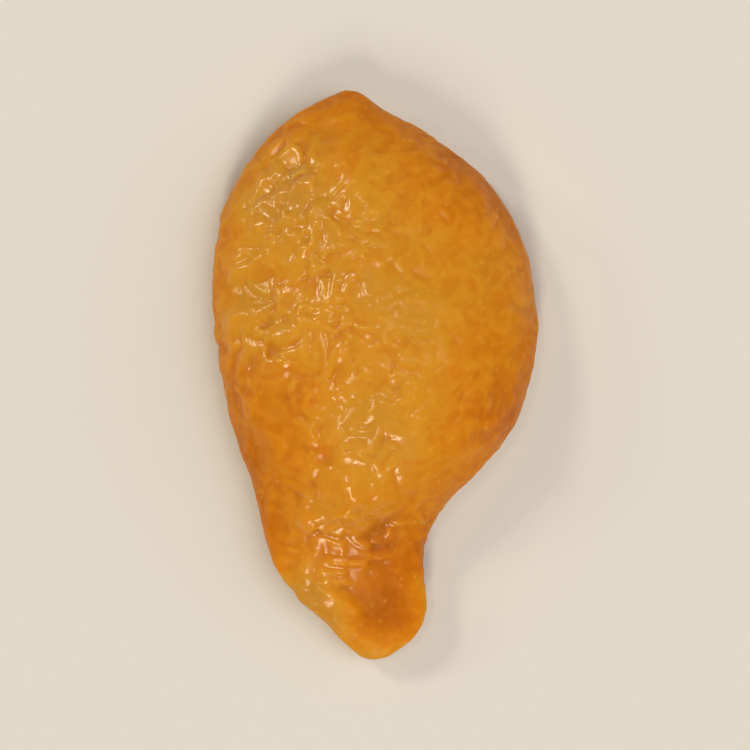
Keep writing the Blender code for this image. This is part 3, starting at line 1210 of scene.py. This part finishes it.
    def _flesh_relief(self, points: np.ndarray) -> np.ndarray:
        """Height of the fibres and lumps in the cut flesh.

        Args:
            points: the net's points.

        Returns:
            A height for each point.
        """
        across, along = self._in_print(points).T
        away = np.maximum(np.hypot(across, along), 1e-6)
        ring = self.hollow_size[1] * np.column_stack((across / away, along / away))
        strands = np.column_stack((ring, away * self.hollow_size[1]))
        lengths = (self.fibre_spacing, self.fibre_spacing, self.fibre_run)
        fibres = ridges(grain(strands, lengths, self.seeds.fibre), self.fibre_softness)
        lumps = grain(points, self.lump_length, self.seeds.lump)
        outside_print = ease((away - self.print_smooth) / self.print_smooth_blend)
        relief = self.fibre_height * fibres * self.fibre_amount.over(outside_print)
        return relief + self.lump_height * lumps

    def _ripeness_and_painted_light(
        self, points: np.ndarray, skin: np.ndarray, inward: np.ndarray, raised: np.ndarray
    ) -> np.ndarray:
        """How pale or deep the fruit is at each point, with painted highlights on crests, painted
        shade in hollows and along the rim, and a painted glow at the tail's edge.

        Args:
            points: the net's points.
            skin: the share of skin.
            inward: distance in from the outline.
            raised: how far each point was raised.

        Returns:
            0 where palest to 1 where deepest.
        """
        ripeness = self.ripeness + sum(tone.over(points) for tone in self.tones)
        ripeness += self.tone_wander * grain(points, self.tone_wander_length, self.seeds.tone)
        # Painted shade along the rim; on the tail the thin edge is painted paler instead, as light
        # glowing through it.
        on_tail = ease((self.tail_start - points[:, 1]) / self.tail_blend)
        rim = self.rim_shade_depth - self.tail_edge_glow * on_tail
        ripeness += rim * np.exp(-((inward / self.rim_shade_reach) ** 2))
        # Painted highlight on the crests of the relief and painted shade in its hollows.
        ripeness -= self.crest_highlight * np.clip(raised / self.fleck_height, *self.crest_highlight_limits)
        ripeness += self.stain.over(points) * skin
        below = self._hollow_ripeness(points)
        return np.clip(skin * ripeness + (1.0 - skin) * below, 0.0, 1.0)

    def _hollow_ripeness(self, points: np.ndarray) -> np.ndarray:
        """How deep the cut flesh's colour is: palest on the lip, deepest in the stone's print.

        Args:
            points: the net's points.

        Returns:
            A ripeness for each point.
        """
        away = np.hypot(*self._in_print(points).T)
        inside = ease((self.print_reach - away) / self.print_blend)
        line = np.exp(-(((away - 1.0) / self.print_line_width) ** 2))
        ripeness = self.flesh_ripeness + self.print_ripeness * inside + self.print_line * line
        drift = grain(points, self.flesh_wander_length, self.seeds.flesh_tone)
        return ripeness + self.flesh_wander * drift

    def _furrow_shade(self, raised: np.ndarray, skin: np.ndarray) -> np.ndarray:
        """Painted shade: where the relief sinks, so that the finishes can deepen the colour there.

        Args:
            raised: how far each point was raised.
            skin: the share of skin.

        Returns:
            0 on the crests to 1 in the furrows, where the painted shade is deepest.
        """
        depth = np.where(skin > 0.5, self.leather_height, self.fibre_height)
        return ease(self.furrow_shade_start - raised / (self.furrow_shade_span * depth))

    def _store(self, mesh: bpy.types.Mesh, mask: Mask, values: np.ndarray) -> None:
        """Keeps a value at each of the mesh's points for the finishes to read."""
        layer = mesh.attributes.new(mask.value, "FLOAT", "POINT")
        layer.data.foreach_set("value", values.astype(np.float32))

    def _dress(self, mesh: bpy.types.Mesh, skin: np.ndarray) -> None:
        """Gives the mesh its two finishes and smooth shading.

        Args:
            mesh: the fruit's mesh.
            skin: the share of skin at each point.
        """
        mottle = Mottle().build()
        crinkle = Crinkle().build()
        mesh.materials.clear()
        mesh.materials.append(SKIN_FINISH.material(mottle, crinkle))
        mesh.materials.append(FLESH_FINISH.material(mottle, crinkle))
        corners = np.empty(len(mesh.loops), dtype=np.int64)
        mesh.loops.foreach_get("vertex_index", corners)
        starts = np.empty(len(mesh.polygons), dtype=np.int64)
        mesh.polygons.foreach_get("loop_start", starts)
        is_skin = skin[corners[starts]] > 0.5
        slots = np.where(is_skin, Side.SKIN.value, Side.FLESH.value).astype(np.int32)
        mesh.polygons.foreach_set("material_index", slots)
        mesh.shade_smooth()


@dataclass(frozen=True)
class Lamp:
    """A distant lamp, so that the whole table is lit evenly.

    Attributes:
        name: its name.
        heading: where it shines from, seen from the fruit.
        width: how wide it looks from the fruit, in degrees.
        strength: the light it sheds, in watts to a square metre.
        colour: its colour.
        mirrored: whether the fruit's gloss mirrors it.
    """

    name: str
    heading: tuple[float, float, float]
    width: float
    strength: float
    colour: Colour
    mirrored: bool = True

    def hang(self) -> None:
        """Adds the lamp to the scene."""
        light = bpy.data.lights.new(self.name, "SUN")
        light.angle = math.radians(self.width)
        light.energy = self.strength
        light.color = self.colour
        holder = bpy.data.objects.new(self.name, light)
        holder.rotation_euler = Vector(self.heading).to_track_quat("Z", "Y").to_euler()
        holder.visible_glossy = self.mirrored
        bpy.context.scene.collection.objects.link(holder)


@dataclass
class Studio:
    """The table, the lights and the camera that looks straight down.

    Attributes:
        floor_size: side of the table top.
        floor_drop: how far it lies under the fruit, so that the two don't share a surface.
        floor_colour: its colour.
        floor_roughness: its roughness.
        haze_colour: colour of the light from all round.
        haze_strength: its strength on the fruit and the table.
        wall_colour: colour of the space behind the table.
        wall_strength: how bright that space looks.
        lens: the camera's focal length in millimetres.
        sensor: width of its sensor in millimetres.
        nearest: the nearest that it sees.
        view_height: height of the stretch that the picture shows.
        lamps: the lamps, of which the mirrored ones make the glints.
    """

    floor_size: float = 60.0
    floor_drop: float = 0.02 * MM
    floor_colour: Colour = (0.79, 0.785, 0.79)
    floor_roughness: float = 0.7
    haze_colour: Colour = (1.0, 0.95, 0.87)
    haze_strength: float = 0.14
    wall_colour: Colour = (1.0, 0.92, 0.78)
    wall_strength: float = 0.72
    lens: float = 180.0
    sensor: float = 36.0
    nearest: float = 0.01
    view_height: float = 0.0635

    lamps: tuple[Lamp, ...] = (
        Lamp("top_light", (0.36, 0.00, 1.00), 36.0, 0.74, (1.0, 0.95, 0.87), mirrored=False),
        Lamp("key_glint", (-0.57, 0.48, 0.67), 12.0, 0.64, (1.0, 0.88, 0.66)),
        Lamp("side_glint", (-0.83, 0.30, 0.48), 10.0, 0.27, (1.0, 0.88, 0.66)),
        Lamp("top_glint", (-0.20, 0.10, 1.00), 9.0, 0.22, (1.0, 0.88, 0.66)),
        Lamp("crown_glint", (0.22, 0.02, 1.00), 14.0, 0.13, (1.0, 0.88, 0.66)),
        Lamp("low_glint", (-0.11, -0.73, 0.80), 12.0, 0.62, (1.0, 0.88, 0.66)),
        Lamp("neck_glint", (-0.10, -0.80, 0.58), 12.0, 0.36, (1.0, 0.88, 0.66)),
        Lamp("fill_light", (0.80, 0.06, 0.60), 50.0, 0.56, (1.0, 0.95, 0.88), mirrored=False),
    )

    def build(self) -> None:
        """Sets up the whole studio."""
        self._floor()
        self._world()
        for lamp in self.lamps:
            lamp.hang()
        self._camera()
        bpy.context.scene.view_settings.view_transform = "Standard"

    def _floor(self) -> None:
        """Lays the pale table top under the fruit."""
        net = bmesh.new()
        bmesh.ops.create_grid(net, x_segments=4, y_segments=4, size=self.floor_size / 2)
        mesh = bpy.data.meshes.new("table_top")
        net.to_mesh(mesh)
        net.free()
        floor = bpy.data.objects.new("table_top", mesh)
        floor.location.z = -self.floor_drop
        bpy.context.scene.collection.objects.link(floor)
        material = bpy.data.materials.new("table_top")
        material.use_nodes = True
        shader = material.node_tree.nodes["Principled BSDF"]
        shader.inputs["Base Color"].default_value = (*self.floor_colour, 1.0)
        shader.inputs["Roughness"].default_value = self.floor_roughness
        mesh.materials.append(material)

    def _world(self) -> None:
        """Lights the scene softly from all round, and shows a pale wall behind the table."""
        world = bpy.data.worlds.new("studio")
        world.use_nodes = True
        sheet = NodeSheet(world.node_tree)
        background = world.node_tree.nodes["Background"]
        seen = sheet.node("ShaderNodeLightPath").outputs["Is Camera Ray"]
        colour = sheet.blend(seen, self.haze_colour, self.wall_colour)
        sheet.join(colour, background.inputs["Color"])
        strength = sheet.span(seen, 0.0, 1.0, self.haze_strength, self.wall_strength)
        sheet.join(strength, background.inputs["Strength"])
        bpy.context.scene.world = world

    def _camera(self) -> None:
        """Places the camera straight above the fruit."""
        data = bpy.data.cameras.new("camera")
        data.lens = self.lens
        data.sensor_width = self.sensor
        data.clip_start = self.nearest
        distance = self.view_height * self.lens / data.sensor_width
        camera = bpy.data.objects.new("camera", data)
        camera.location = (0.0, 0.0, distance)
        bpy.context.scene.collection.objects.link(camera)
        bpy.context.scene.camera = camera


def main() -> None:
    """Builds the studio and the fruit, and ties the fruit to the frame."""
    logging.basicConfig(level=logging.INFO, format="%(message)s")
    studio = Studio()
    studio.build()
    log.info("studio: table, %d lamps and camera", len(studio.lamps))
    fruit = ApricotHalf().build()
    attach(fruit, BODY)
    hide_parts(NODE)
    log.info("fruit: %d faces", len(fruit.data.polygons))


if __name__ == "__main__":
    main()
